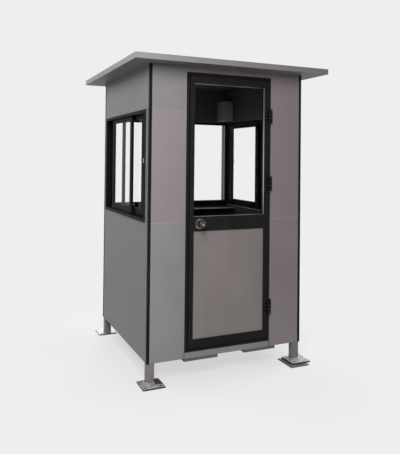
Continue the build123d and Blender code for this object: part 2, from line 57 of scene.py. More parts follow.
def add(tree, kind, inputs=None, **settings):
    """Add a node, set its settings, and fill or link its inputs; a node stands for its first output."""
    made = tree.nodes.new(kind)
    for name, value in settings.items():
        setattr(made, name, value)
    for key, value in (inputs or {}).items():
        if isinstance(value, bpy.types.Node):
            value = value.outputs[0]
        if isinstance(value, bpy.types.NodeSocket):
            tree.links.new(value, made.inputs[key])
        else:
            made.inputs[key].default_value = value
    return made


def new_material(name):
    """An empty material, its tree, and the object coordinates in metres."""
    material = bpy.data.materials.new(name)
    material.use_nodes = True
    tree = material.node_tree
    tree.nodes.clear()
    place = add(tree, "ShaderNodeTexCoord").outputs["Object"]
    return material, tree, place


def close_material(material, tree, inputs):
    """End a material: one shader with these inputs on its surface."""
    shader = add(tree, "ShaderNodeBsdfPrincipled", inputs)
    add(tree, "ShaderNodeOutputMaterial", {"Surface": shader})
    return material


def fill_ramp(ramp, *stops):
    """Set a colour ramp's stops, each a place and a colour: its two ends first, then those between."""
    elements = ramp.color_ramp.elements
    for index, (position, colour) in enumerate(stops):
        stop = elements[index] if index < 2 else elements.new(position)
        stop.position = position
        stop.color = linear(colour)


def solid_boxes(name):
    """Lowest and highest corner of each separate solid of a CAD node."""
    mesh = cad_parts[name].data
    keys = [tuple(round(c, 5) for c in v.co) for v in mesh.vertices]
    parent = {key: key for key in keys}

    def root(key):
        while parent[key] != key:
            parent[key] = parent[parent[key]]
            key = parent[key]
        return key

    for face in mesh.polygons:
        first = root(keys[face.vertices[0]])
        for index in face.vertices[1:]:
            parent[root(keys[index])] = first
    groups = {}
    for key in set(keys):
        groups.setdefault(root(key), []).append(key)
    boxes = []
    for points in groups.values():
        low = Vector([min(p[i] for p in points) for i in range(3)])
        high = Vector([max(p[i] for p in points) for i in range(3)])
        boxes.append((low, high))
    return sorted(boxes, key=lambda box: tuple(box[0]))


def new_object(name, data):
    """An object in the scene, at the origin."""
    made = bpy.data.objects.new(name, data)
    bpy.context.scene.collection.objects.link(made)
    return made


def rides(piece, body):
    """Let a piece move with a body."""
    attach(piece, body)
    return piece


# ---- materials ----


def coated_sheet(name, colour, shade, dust, gloss=0.42, lots=()):
    """Coil-coated metal sheet, rolled and stove painted: an even satin face.

    The eye gets slow clouding from dust, faint upright rain marks, a dustier foot, and a soft,
    slightly uneven shine from orange peel. Real peel is 1 to 2 mm; it is drawn at 9 mm to show.
    Each lot is a height above which the sheet comes from another coil, and that coil's shade.
    """
    material, tree, place = new_material(name)
    clouds = add(tree, "ShaderNodeTexNoise", {
        "Vector": place, "Scale": per(420), "Detail": 3.0, "Roughness": 0.55})
    blend = add(tree, "ShaderNodeMapRange", {"Value": clouds, "From Min": 0.32, "From Max": 0.7})
    body = add(tree, "ShaderNodeMix", {0: blend, 6: linear(shade), 7: linear(colour)}, data_type="RGBA")
    height = add(tree, "ShaderNodeSeparateXYZ", {0: place})
    for start, tint in lots:
        above = add(tree, "ShaderNodeMapRange", {
            "Value": height.outputs["Z"], "From Min": start - MM, "From Max": start + MM, "To Max": 0.75})
        body = add(tree, "ShaderNodeMix", {0: above, 6: body.outputs[2], 7: linear(tint)}, data_type="RGBA")
    upright = add(tree, "ShaderNodeMapping", {"Vector": place, "Scale": (per(90), per(90), per(900))})
    rain = add(tree, "ShaderNodeTexNoise", {"Vector": upright, "Scale": 1.0, "Detail": 4.0, "Roughness": 0.6})
    streak = add(tree, "ShaderNodeMapRange", {"Value": rain, "From Min": 0.5, "From Max": 0.8, "To Max": 0.1})
    washed = add(tree, "ShaderNodeMix", {0: streak, 6: body.outputs[2], 7: linear(dust)}, data_type="RGBA")
    splash = add(tree, "ShaderNodeTexNoise", {
        "Vector": place, "Scale": per(60), "Detail": 5.0, "Roughness": 0.65})
    ragged = add(tree, "ShaderNodeMath", {
        0: splash, 1: -160 * MM, 2: height.outputs["Z"]}, operation="MULTIPLY_ADD")
    foot = add(tree, "ShaderNodeMapRange", {
        "Value": ragged, "From Min": 80 * MM, "From Max": 420 * MM, "To Min": 0.3, "To Max": 0.0})
    dusty = add(tree, "ShaderNodeMix", {0: foot, 6: washed.outputs[2], 7: linear(dust)}, data_type="RGBA")
    peel = add(tree, "ShaderNodeTexNoise", {"Vector": place, "Scale": per(9), "Detail": 2.0})
    bump = add(tree, "ShaderNodeBump", {"Height": peel, "Strength": 0.12, "Distance": 0.6 * MM})
    shine = add(tree, "ShaderNodeMapRange", {
        "Value": clouds, "From Min": 0.3, "From Max": 0.7, "To Min": gloss, "To Max": gloss + 0.12})
    return close_material(material, tree, {
        "Base Color": dusty.outputs[2], "Roughness": shine, "Normal": bump, "IOR": 1.5,
        "Specular IOR Level": 0.35})


def powder_coat(name, colour, worn, gloss=0.38, wear=0.5, mirror=0.05):
    """Powder-coated aluminium extrusion: polyester baked on, with a very fine sandy grain.

    The eye gets a near-black satin face, paler along handled edges, with dust in patches. The
    grain is about 0.3 mm; it is drawn at 3 mm to show.
    """
    material, tree, place = new_material(name)
    round_edge = add(tree, "ShaderNodeBevel", {"Radius": 1.8 * MM}, samples=4)
    face = add(tree, "ShaderNodeNewGeometry")
    facing = add(tree, "ShaderNodeVectorMath", {
        0: round_edge, 1: face.outputs["Normal"]}, operation="DOT_PRODUCT")
    edge = add(tree, "ShaderNodeMapRange", {
        "Value": facing.outputs["Value"], "From Min": 0.86, "From Max": 0.995, "To Min": wear, "To Max": 0.0})
    patches = add(tree, "ShaderNodeTexNoise", {
        "Vector": place, "Scale": per(110), "Detail": 5.0, "Roughness": 0.6})
    handled = add(tree, "ShaderNodeMath", {0: edge, 1: patches}, operation="MULTIPLY")
    dust = add(tree, "ShaderNodeMapRange", {
        "Value": patches, "From Min": 0.5, "From Max": 0.8, "To Max": 0.16})
    pale = add(tree, "ShaderNodeMath", {0: handled, 1: dust}, operation="ADD", use_clamp=True)
    coat = add(tree, "ShaderNodeMix", {0: pale, 6: linear(colour), 7: linear(worn)}, data_type="RGBA")
    sand = add(tree, "ShaderNodeTexNoise", {"Vector": place, "Scale": per(3), "Detail": 2.0})
    bump = add(tree, "ShaderNodeBump", {
        "Height": sand, "Strength": 0.18, "Distance": 0.3 * MM, "Normal": round_edge})
    shine = add(tree, "ShaderNodeMapRange", {
        "Value": patches, "To Min": gloss - 0.08, "To Max": gloss + 0.14})
    return close_material(material, tree, {
        "Base Color": coat.outputs[2], "Roughness": shine, "Normal": bump, "IOR": 1.5,
        "Specular IOR Level": mirror})


def brushed_enamel(name, colour, shade, rust, foot_height=50 * MM, shaded_flank=None):
    """Alkyd enamel brushed over mild steel.

    The eye gets lengthwise brush marks, darker runs, and rust-brown specks that gather near the
    ground. Bristle marks are 1 mm apart; they are drawn 4 mm apart to show. Given a last colour,
    the faces turned to either side get it as painted shade, for the shadow that falls on them.
    """
    material, tree, place = new_material(name)
    upright = add(tree, "ShaderNodeMapping", {"Vector": place, "Scale": (per(4), per(4), per(120))})
    brush = add(tree, "ShaderNodeTexNoise", {
        "Vector": upright, "Scale": 1.0, "Detail": 3.0, "Roughness": 0.6})
    runs = add(tree, "ShaderNodeTexNoise", {"Vector": place, "Scale": per(70), "Detail": 4.0})
    mixed = add(tree, "ShaderNodeMath", {0: brush, 1: runs}, operation="MULTIPLY")
    tone = add(tree, "ShaderNodeMapRange", {"Value": mixed, "From Min": 0.14, "From Max": 0.38})
    enamel = add(tree, "ShaderNodeMix", {0: tone, 6: linear(shade), 7: linear(colour)}, data_type="RGBA")
    specks = add(tree, "ShaderNodeTexVoronoi", {"Vector": place, "Scale": per(9), "Randomness": 1.0})
    dot = add(tree, "ShaderNodeMapRange", {
        "Value": specks, "From Min": 0.12, "From Max": 0.34, "To Min": 1.0, "To Max": 0.0})
    height = add(tree, "ShaderNodeSeparateXYZ", {0: place})
    low = add(tree, "ShaderNodeMapRange", {
        "Value": height.outputs["Z"], "From Min": 10 * MM, "From Max": foot_height, "To Min": 0.75,
        "To Max": 0.05})
    blister = add(tree, "ShaderNodeMath", {0: dot, 1: low}, operation="MULTIPLY")
    rusty = add(tree, "ShaderNodeMix", {0: blister, 6: enamel.outputs[2], 7: linear(rust)}, data_type="RGBA")
    bump = add(tree, "ShaderNodeBump", {"Height": mixed, "Strength": 0.3, "Distance": 0.6 * MM})
    shine = add(tree, "ShaderNodeMapRange", {"Value": brush, "To Min": 0.34, "To Max": 0.6})
    coat = rusty.outputs[2]
    # Faces turned to either side: painted shade, a dark colour for the shadow on them.
    if shaded_flank:
        face = add(tree, "ShaderNodeNewGeometry")
        parts = add(tree, "ShaderNodeSeparateXYZ", {0: face.outputs["Normal"]})
        across = add(tree, "ShaderNodeMath", {0: parts.outputs["X"]}, operation="ABSOLUTE")
        sideways_shade = add(tree, "ShaderNodeMapRange", {"Value": across, "From Min": 0.6, "From Max": 0.8})
        coat = add(tree, "ShaderNodeMix", {
            0: sideways_shade, 6: coat, 7: linear(shaded_flank)}, data_type="RGBA").outputs[2]
    return close_material(material, tree, {
        "Base Color": coat, "Roughness": shine, "Normal": bump, "IOR": 1.48, "Specular IOR Level": 0.4})


def foot_plate_steel():
    """Flame-cut plate, welded, wire-brushed and sprayed in a hurry.

    The eye gets silvery overspray with blue-purple weld heat on top, black flame-cut edges, and
    red-brown primer left bare on the side of one foot.
    """
    material, tree, place = new_material("sprayed_flame_cut_plate")
    mottle = add(tree, "ShaderNodeTexNoise", {
        "Vector": place, "Scale": per(18), "Detail": 6.0, "Roughness": 0.7})
    spray = add(tree, "ShaderNodeValToRGB", {0: mottle})
    fill_ramp(spray, (0.34, "#7f7c88"), (0.68, "#dadae0"), (0.5, "#acabb3"))
    primer_noise = add(tree, "ShaderNodeTexNoise", {
        "Vector": place, "Scale": per(12), "Detail": 5.0, "Roughness": 0.7})
    primer = add(tree, "ShaderNodeValToRGB", {0: primer_noise})
    fill_ramp(primer, (0.36, "#2c2727"), (0.66, "#6b4a46"))
    low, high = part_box("front_left_post")
    bare_spot = (high.x + 34 * MM, (low.y + high.y) / 2 - 20 * MM, 10 * MM)
    away = add(tree, "ShaderNodeVectorMath", {0: place, 1: bare_spot}, operation="DISTANCE")
    ragged = add(tree, "ShaderNodeMath", {
        0: primer_noise, 1: 50 * MM, 2: away.outputs["Value"]}, operation="MULTIPLY_ADD")
    bare = add(tree, "ShaderNodeMapRange", {
        "Value": ragged, "From Min": 62 * MM, "From Max": 82 * MM, "To Min": 1.0, "To Max": 0.0})
    steel = add(tree, "ShaderNodeMix", {0: bare, 6: spray, 7: primer}, data_type="RGBA")
    face = add(tree, "ShaderNodeNewGeometry")
    parts = add(tree, "ShaderNodeSeparateXYZ", {0: face.outputs["Normal"]})
    top = add(tree, "ShaderNodeMapRange", {"Value": parts.outputs["Z"], "From Min": 0.4, "From Max": 0.7})
    cut = add(tree, "ShaderNodeMix", {0: top, 6: linear("#221f20"), 7: steel.outputs[2]}, data_type="RGBA")
    bump = add(tree, "ShaderNodeBump", {"Height": mottle, "Strength": 0.5, "Distance": 1 * MM})
    shine = add(tree, "ShaderNodeMapRange", {"Value": mottle, "To Min": 0.3, "To Max": 0.65})
    metal = add(tree, "ShaderNodeMapRange", {"Value": bare, "To Min": 0.35, "To Max": 0.0})
    return close_material(material, tree, {
        "Base Color": cut.outputs[2], "Roughness": shine, "Metallic": metal, "Normal": bump})


def lining_sheet(name, colour, scuff, gloss=0.5):
    """Composite sheet or laminated board: a smooth polyester or melamine face.

    The eye gets a deep even black with a low sheen and hair scratches. A scratch is finer than
    0.1 mm; they are drawn 6 mm apart to show.
    """
    material, tree, place = new_material(name)
    turned = add(tree, "ShaderNodeMapping", {
        "Vector": place, "Scale": (per(50), per(50), per(6)), "Rotation": (0.5, 0.3, 0.0)})
    scratch = add(tree, "ShaderNodeTexNoise", {
        "Vector": turned, "Scale": 1.0, "Detail": 5.0, "Roughness": 0.7})
    hair = add(tree, "ShaderNodeMapRange", {
        "Value": scratch, "From Min": 0.6, "From Max": 0.76, "To Max": 0.35})
    clouds = add(tree, "ShaderNodeTexNoise", {"Vector": place, "Scale": per(300), "Detail": 2.0})
    soft = add(tree, "ShaderNodeMath", {0: clouds, 1: hair}, operation="MULTIPLY")
    face = add(tree, "ShaderNodeMix", {0: soft, 6: linear(colour), 7: linear(scuff)}, data_type="RGBA")
    shine = add(tree, "ShaderNodeMapRange", {"Value": scratch, "To Min": gloss, "To Max": gloss + 0.2})
    bump = add(tree, "ShaderNodeBump", {"Height": scratch, "Strength": 0.06, "Distance": 0.4 * MM})
    return close_material(material, tree, {
        "Base Color": face.outputs[2], "Roughness": shine, "Normal": bump, "IOR": 1.5,
        "Specular IOR Level": 0.15})


def flecked_vinyl():
    """Sheet vinyl floor: printed flecks 6 mm across under a dull wear layer, with grit trodden in."""
    material, tree, place = new_material("flecked_sheet_vinyl")
    flecks = add(tree, "ShaderNodeTexVoronoi", {"Vector": place, "Scale": per(6)})
    chips = add(tree, "ShaderNodeValToRGB", {0: flecks.outputs["Color"]})
    fill_ramp(chips, (0.0, "#2b2c2e"), (1.0, "#4a4b4d"))
    trodden = add(tree, "ShaderNodeTexNoise", {"Vector": place, "Scale": per(200), "Detail": 5.0})
    dirt = add(tree, "ShaderNodeMapRange", {
        "Value": trodden, "From Min": 0.4, "From Max": 0.75, "To Max": 0.4})
    floor = add(tree, "ShaderNodeMix", {0: dirt, 6: chips, 7: linear("#5a554f")}, data_type="RGBA")
    bump = add(tree, "ShaderNodeBump", {"Height": flecks, "Strength": 0.1, "Distance": 0.5 * MM})
    return close_material(material, tree, {"Base Color": floor.outputs[2], "Roughness": 0.55, "Normal": bump})


def float_glass():
    """Clear float glass, polished by the tin bath: nearly no colour, with a thin film of dust.

    The eye gets a clear pane with slightly softer patches where the dust lies. Glass has an IOR of
    1.5; it is far lower here, because the real panes mirror dark surroundings and not this pale
    backdrop, which would turn them white at a grazing angle.
    """
    material, tree, place = new_material("clear_float_glass")
    film = add(tree, "ShaderNodeTexNoise", {"Vector": place, "Scale": per(160), "Detail": 4.0})
    soft = add(tree, "ShaderNodeMapRange", {"Value": film, "From Min": 0.45, "From Max": 0.8, "To Max": 0.03})
    tint = add(tree, "ShaderNodeMix", {0: soft, 6: linear("#ffffff"), 7: linear("#fbfcfb")}, data_type="RGBA")
    return close_material(material, tree, {
        "Base Color": tint.outputs[2], "Roughness": soft, "Transmission Weight": 1.0, "IOR": 1.045})


def anodised(name, colour, line):
    """Natural anodised aluminium, extruded: a cool silver with fine die lines along its length.

    Die lines are 0.2 mm apart; they are drawn 2 mm apart to show. The strips and beads of it inside the booth
    partly carry painted highlight and reflection.
    """
    material, tree, place = new_material(name)
    lengthwise = add(tree, "ShaderNodeMapping", {"Vector": place, "Scale": (per(2), per(2), per(300))})
    lines = add(tree, "ShaderNodeTexNoise", {"Vector": lengthwise, "Scale": 1.0, "Detail": 2.0})
    tone = add(tree, "ShaderNodeMix", {0: lines, 6: linear(line), 7: linear(colour)}, data_type="RGBA")
    bump = add(tree, "ShaderNodeBump", {"Height": lines, "Strength": 0.15, "Distance": 0.2 * MM})
    return close_material(material, tree, {
        "Base Color": tone.outputs[2], "Metallic": 0.6, "Roughness": 0.32, "Normal": bump})


def turned_nickel(name, centre, colour, smear, rough):
    """Nickel over brass, spun and buffed: rings left by the tool round the spindle. A dark colour is painted
    reflection, for dark surroundings mirrored in the nickel.

    The eye gets a mirror with small bright lamps in it and browner hand smears. The rings are
    0.3 mm apart; they are drawn 2.5 mm apart to show.
    """
    material, tree, place = new_material(name)
    centred = add(tree, "ShaderNodeMapping", {"Vector": place, "Location": [-c for c in centre]})
    parts = add(tree, "ShaderNodeSeparateXYZ", {0: centred})
    flat = add(tree, "ShaderNodeCombineXYZ", {"X": parts.outputs["X"], "Y": parts.outputs["Z"]})
    radius = add(tree, "ShaderNodeVectorMath", {0: flat}, operation="LENGTH")
    phase = add(tree, "ShaderNodeMath", {
        0: radius.outputs["Value"], 1: 2 * math.pi * per(2.5)}, operation="MULTIPLY")
    rings = add(tree, "ShaderNodeMath", {0: phase}, operation="SINE")
    smudge = add(tree, "ShaderNodeTexNoise", {"Vector": place, "Scale": per(20), "Detail": 4.0})
    patchy = add(tree, "ShaderNodeMapRange", {"Value": smudge, "From Min": 0.4, "From Max": 0.6})
    tone = add(tree, "ShaderNodeMix", {0: patchy, 6: linear(colour), 7: linear(smear)}, data_type="RGBA")
    shine = add(tree, "ShaderNodeMapRange", {"Value": patchy, "To Min": rough, "To Max": rough + 0.12})
    bump = add(tree, "ShaderNodeBump", {"Height": rings, "Strength": 0.08, "Distance": 0.2 * MM})
    return close_material(material, tree, {
        "Base Color": tone.outputs[2], "Metallic": 1.0, "Roughness": shine, "Normal": bump})


def extruded_rubber(name, colour, bloom):
    """EPDM glazing rubber or cured sealant: matt, with a chalky bloom and a fine grain.

    The grain is about 0.2 mm; it is drawn at 1.5 mm to show.
    """
    material, tree, place = new_material(name)
    chalk = add(tree, "ShaderNodeTexNoise", {
        "Vector": place, "Scale": per(25), "Detail": 5.0, "Roughness": 0.7})
    amount = add(tree, "ShaderNodeMapRange", {
        "Value": chalk, "From Min": 0.45, "From Max": 0.75, "To Max": 0.6})
    tone = add(tree, "ShaderNodeMix", {0: amount, 6: linear(colour), 7: linear(bloom)}, data_type="RGBA")
    grain = add(tree, "ShaderNodeTexNoise", {"Vector": place, "Scale": per(1.5)})
    bump = add(tree, "ShaderNodeBump", {"Height": grain, "Strength": 0.25, "Distance": 0.2 * MM})
    return close_material(material, tree, {"Base Color": tone.outputs[2], "Roughness": 0.72, "Normal": bump})


def moulded_plastic(name, colour, scuffed):
    """Injection-moulded plastic with a spark-eroded grain, scuffed paler in patches.

    The grain is about 0.4 mm; it is drawn at 2.5 mm to show.
    """
    material, tree, place = new_material(name)
    scuffs = add(tree, "ShaderNodeTexNoise", {
        "Vector": place, "Scale": per(50), "Detail": 5.0, "Roughness": 0.65})
    tone = add(tree, "ShaderNodeMix", {0: scuffs, 6: linear(colour), 7: linear(scuffed)}, data_type="RGBA")
    grain = add(tree, "ShaderNodeTexVoronoi", {"Vector": place, "Scale": per(2.5)})
    bump = add(tree, "ShaderNodeBump", {"Height": grain, "Strength": 0.15, "Distance": 0.3 * MM})
    return close_material(material, tree, {
        "Base Color": tone.outputs[2], "Roughness": 0.55, "Normal": bump, "Specular IOR Level": 0.3})


def weld_metal():
    """Stick weld, chipped and sprayed thinly: silver, with straw and purple heat in patches."""
    material, tree, place = new_material("sprayed_stick_weld")
    heat = add(tree, "ShaderNodeTexNoise", {"Vector": place, "Scale": per(10), "Detail": 4.0})
    colours = add(tree, "ShaderNodeValToRGB", {0: heat})
    fill_ramp(colours, (0.3, "#5d5566"), (0.7, "#cfced3"), (0.45, "#8d8378"))
    bump = add(tree, "ShaderNodeBump", {"Height": heat, "Strength": 0.4, "Distance": 0.8 * MM})
    return close_material(material, tree, {
        "Base Color": colours, "Metallic": 0.6, "Roughness": 0.4, "Normal": bump})


def plated_screw(name, colour, dull):
    """Zinc-plated steel screw head: pale metal with a dull film in patches."""
    material, tree, place = new_material(name)
    film = add(tree, "ShaderNodeTexNoise", {"Vector": place, "Scale": per(3), "Detail": 3.0})
    tone = add(tree, "ShaderNodeMix", {0: film, 6: linear(dull), 7: linear(colour)}, data_type="RGBA")
    bump = add(tree, "ShaderNodeBump", {"Height": film, "Strength": 0.1, "Distance": 0.2 * MM})
    return close_material(material, tree, {
        "Base Color": tone.outputs[2], "Metallic": 0.9, "Roughness": 0.34, "Normal": bump})


knob_low, knob_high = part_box("door_knobs")
knob_centre = (knob_low + knob_high) / 2

# The front skins are three sheets high, and each height comes from another coil.
joint_heights = sorted(low.z for low, high in solid_boxes("front_left_panel"))[1:]
left_lots = list(zip(joint_heights, ("#888083", "#7b7b7d")))
right_lots = [(joint_heights[0], "#887d81")]
left_sheet = coated_sheet("neutral_grey_coated_sheet", "#8a8a8b", "#7f7f80", "#969494", lots=left_lots)
right_sheet = coated_sheet("mauve_grey_coated_sheet", "#8b8385", "#7f7779", "#979090", lots=right_lots)
door_sheet = coated_sheet("warm_grey_coated_sheet", "#857f7e", "#7a7473", "#918c8a")
# The side and back sheets are a darker copy of the front ones: painted shade, for side walls that stand in
# less light.
shaded_side_sheet = coated_sheet("grey_coated_sheet", "#787879", "#6e6e6f", "#868381")
roof_sheet = coated_sheet("pale_coated_roof_sheet", "#adadaf", "#a1a1a3", "#bab9b6", 0.5)
fascia_sheet = coated_sheet("pale_coated_fascia", "#848486", "#7a7a7c", "#909090", 0.36)
soffit_sheet = coated_sheet("grey_coated_soffit", "#777474", "#686565", "#807d7b", 0.5)
black_frame = powder_coat("black_powder_coat_frames", "#1e1f1f", "#444646")
window_black = powder_coat("black_powder_coat_windows", "#151617", "#2f3132", 0.4, 0.4, 0.02)
black_trim = powder_coat("black_powder_coat_corner_trims", "#18181a", "#47494c")
black_hinge = powder_coat("black_powder_coat_hinges", "#0f0f0f", "#6a6866", 0.3, 0.8)
leg_paint = brushed_enamel("grey_enamel_box_steel", "#828282", "#747474", "#5a4238")
frame_paint = brushed_enamel("grey_enamel_inner_frame", "#6f6e6e", "#5f5e5e", "#523c33")
# Bearers and packing plate: the last colour is painted shade on the faces turned to either side.
bearer_paint = brushed_enamel(
    "mauve_grey_enamel_bearers", "#6c6667", "#5b5556", "#4c3a35", 140 * MM, "#141112")
packing_paint = brushed_enamel(
    "worn_enamel_packing_plate", "#77766f", "#4e4d49", "#2d2926", 30 * MM, "#1d1b1b")
plate_steel = foot_plate_steel()
black_lining = lining_sheet("black_composite_lining", "#3a3838", "#545151")
shelf_board = lining_sheet("black_laminated_shelf", "#121213", "#3c3d40", 0.34)
floor_vinyl = flecked_vinyl()
glass = float_glass()
silver_bead = anodised("natural_anodised_bead", "#d6d7d8", "#b2b4b5")
# A pale strip as painted reflection on the black jamb of the back window.
jamb_reflection_strip = anodised("pale_strip_painted_reflection", "#77797b", "#5f6163")
nickel = turned_nickel("satin_nickel_spun", knob_centre, "#d9d4cf", "#a89f99", 0.18)
# The knob's dark colours are painted reflection: bright nickel mirroring dark surroundings.
nickel_dark_reflection = turned_nickel("spun_nickel", knob_centre, "#544a48", "#40302d", 0.12)
rose_nickel = turned_nickel("spun_nickel_rose", knob_centre, "#c4bfbb", "#6a605b", 0.3)
rubber = extruded_rubber("black_epdm_rubber", "#0f0f0f", "#1e1e1e")
sealant = extruded_rubber("grey_cured_sealant", "#858182", "#989492")
pale_sealant = extruded_rubber("pale_cured_sealant", "#a09b9a", "#ada8a6")
box_plastic = moulded_plastic("dark_grey_moulded_box", "#767676", "#828282")
weld = weld_metal()
black_screw = plated_screw("blacked_zinc_screws", "#777573", "#2b2a29")
zinc_screw = plated_screw("bright_zinc_screws", "#c9c9c6", "#8b8a86")

# Each node's finish, by its name or by how its name ends; what neither holds is a black frame.
finishes = {
    "front_left_panel": left_sheet,
    "front_right_panel": right_sheet,
    "front_header_panel": right_sheet,
    "threshold_panel": left_sheet,
    "door_lower_panel": door_sheet,
    "window_side_strips": shaded_side_sheet,
    "roof_deck": roof_sheet,
    "roof_fascia": fascia_sheet,
    "soffit_panel": soffit_sheet,
    "corner_trims": black_trim,
    "base_plates": plate_steel,
    "front_right_packing_plate": packing_paint,
    "floor_bearers": bearer_paint,
    "floor_board": floor_vinyl,
    "back_shelf": shelf_board,
    "junction_box": box_plastic,
    "door_glass_bead": silver_bead,
    "lock_roses": rose_nickel,
    "door_knobs": nickel_dark_reflection,
    "window_keepers": nickel,
}
by_ending = {
    "_post": leg_paint,
    "_plates": black_hinge,
    "_wall_lining": black_lining,
    "ceiling_lining": black_lining,
    "_lower_panel": shaded_side_sheet,
    "_upper_panel": shaded_side_sheet,
    "_glass": glass,
    "_window_frame": window_black,
    "_window_sashes": window_black,
    "floor_frame": frame_paint,
    "roof_frame": frame_paint,
    "wall_frame": frame_paint,
    "floor_joists": frame_paint,
}
for name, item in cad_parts.items():
    ending = next((e for e in by_ending if name.endswith(e)), None)
    finish = finishes.get(name) or by_ending.get(ending) or black_frame
    for place in item.material_slots:
        place.material = finish


# ---- pieces that repeat or follow a path ----


def new_tree(name, inputs):
    """An empty Geometry Nodes tree with a geometry input and the named ones."""
    tree = bpy.data.node_groups.new(name, "GeometryNodeTree")
    tree.interface.new_socket("Geometry", in_out="INPUT", socket_type="NodeSocketGeometry")
    for label, (kind, value) in inputs.items():
        socket = tree.interface.new_socket(label, in_out="INPUT", socket_type=kind)
        if value is not None:
            socket.default_value = value
    tree.interface.new_socket("Geometry", in_out="OUTPUT", socket_type="NodeSocketGeometry")
    return tree, tree.nodes.new("NodeGroupInput").outputs


def close_tree(tree, geometry, material):
    """End a tree: real geometry, one material."""
    real = add(tree, "GeometryNodeRealizeInstances", {"Geometry": geometry})
    painted = add(tree, "GeometryNodeSetMaterial", {"Geometry": real, "Material": material})
    add(tree, "NodeGroupOutput", {0: painted})


def bead_tree():
    """A round bead along lines with rounded corners.

    With a step above nought it swells and shrinks by the ripple at each step.
    """
    tree, given = new_tree("bead_along_lines", {
        "Radius": ("NodeSocketFloat", 2 * MM),
        "Corner": ("NodeSocketFloat", 3 * MM),
        "Step": ("NodeSocketFloat", 0.0),
        "Ripple": ("NodeSocketFloat", 0.0),
        "Sides": ("NodeSocketInt", 8),
        "Seed": ("NodeSocketFloat", 1.0),
        "Material": ("NodeSocketMaterial", None),
    })
    path = add(tree, "GeometryNodeMeshToCurve", {"Mesh": given["Geometry"]})
    rounded = add(tree, "GeometryNodeFilletCurve", {
        "Curve": path, "Radius": given["Corner"], "Count": 5, "Limit Radius": True}, mode="POLY")
    stepped = add(tree, "GeometryNodeResampleCurve", {
        "Curve": rounded, "Length": given["Step"]}, mode="LENGTH")
    uneven_bead = add(tree, "FunctionNodeCompare", {
        0: given["Step"], 1: 0.0}, data_type="FLOAT", operation="GREATER_THAN")
    steps = add(tree, "GeometryNodeSwitch", {
        "Switch": uneven_bead, "False": rounded, "True": stepped}, input_type="GEOMETRY")
    spot = add(tree, "GeometryNodeInputPosition")
    uneven = add(tree, "ShaderNodeTexNoise", {
        "Vector": spot, "W": given["Seed"], "Scale": per(6)}, noise_dimensions="4D")
    swell = add(tree, "ShaderNodeMath", {0: uneven, 1: 0.5}, operation="SUBTRACT")
    size = add(tree, "ShaderNodeMath", {0: swell, 1: given["Ripple"], 2: 1.0}, operation="MULTIPLY_ADD")
    thick = add(tree, "GeometryNodeSetCurveRadius", {"Curve": steps, "Radius": size})
    section = add(tree, "GeometryNodeCurvePrimitiveCircle", {
        "Resolution": given["Sides"], "Radius": given["Radius"]})
    bead = add(tree, "GeometryNodeCurveToMesh", {
        "Curve": thick, "Profile Curve": section, "Scale": size, "Fill Caps": True})
    smooth = add(tree, "GeometryNodeSetShadeSmooth", {"Geometry": bead})
    close_tree(tree, smooth, given["Material"])
    return tree


def screw_tree():
    """A low domed head with a cross recess on every point, each turned by chance."""
    tree, given = new_tree("cross_recess_screws", {
        "Radius": ("NodeSocketFloat", 3.5 * MM),
        "Height": ("NodeSocketFloat", 1.2 * MM),
        "Recess": ("NodeSocketFloat", 0.9 * MM),
        "Facing": ("NodeSocketVector", (0.0, 0.0, 0.0)),
        "Seed": ("NodeSocketInt", 3),
        "Material": ("NodeSocketMaterial", None),
    })
    head = add(tree, "GeometryNodeMeshUVSphere", {"Segments": 24, "Rings": 12, "Radius": given["Radius"]})
    low = add(tree, "ShaderNodeMath", {0: given["Height"], 1: given["Radius"]}, operation="DIVIDE")
    squat = add(tree, "ShaderNodeCombineXYZ", {"X": 1.0, "Y": 1.0, "Z": low})
    domed = add(tree, "GeometryNodeTransform", {"Geometry": head, "Scale": squat})
    long_side = add(tree, "ShaderNodeMath", {0: given["Radius"], 1: 1.15}, operation="MULTIPLY")
    up = add(tree, "ShaderNodeCombineXYZ", {"Z": given["Height"]})
    cut = domed
    for across, deep in ((long_side, given["Recess"]), (given["Recess"], long_side)):
        size = add(tree, "ShaderNodeCombineXYZ", {"X": across, "Y": deep, "Z": given["Height"]})
        bar = add(tree, "GeometryNodeMeshCube", {"Size": size})
        raised = add(tree, "GeometryNodeTransform", {"Geometry": bar, "Translation": up})
        cut = add(tree, "GeometryNodeMeshBoolean", {"Mesh 1": cut, "Mesh 2": raised}, operation="DIFFERENCE")
    chance = add(tree, "FunctionNodeRandomValue", {3: math.pi, "Seed": given["Seed"]}, data_type="FLOAT")
    spin = add(tree, "ShaderNodeCombineXYZ", {"Z": chance.outputs[1]})
    facing = add(tree, "FunctionNodeEulerToRotation", {0: given["Facing"]})
    quarter = add(tree, "FunctionNodeEulerToRotation", {0: spin})
    turned = add(tree, "FunctionNodeRotateRotation", {0: facing, 1: quarter}, rotation_space="LOCAL")
    placed = add(tree, "GeometryNodeInstanceOnPoints", {
        "Points": given["Geometry"], "Instance": cut, "Rotation": turned})
    close_tree(tree, placed, given["Material"])
    return tree


def grow(name, tree, points, edges, values, body, slot):
    """Run a tree on points and edges, and keep the result as a plain mesh that rides on a body."""
    scaffold = bpy.data.meshes.new(name + "_points")
    scaffold.from_pydata(points, edges, [])
    holder = new_object(name + "_holder", scaffold)
    modifier = holder.modifiers.new(name, "NODES")
    modifier.node_group = tree
    for item in tree.interface.items_tree:
        if item.item_type == "SOCKET" and item.in_out == "INPUT" and item.name in values:
            modifier[item.identifier] = values[item.name]
    graph = bpy.context.evaluated_depsgraph_get()
    mesh = bpy.data.meshes.new_from_object(holder.evaluated_get(graph), depsgraph=graph)
    bpy.data.objects.remove(holder)
    return rides(new_object(name, mesh), body)


beads = bead_tree()
screws = screw_tree()


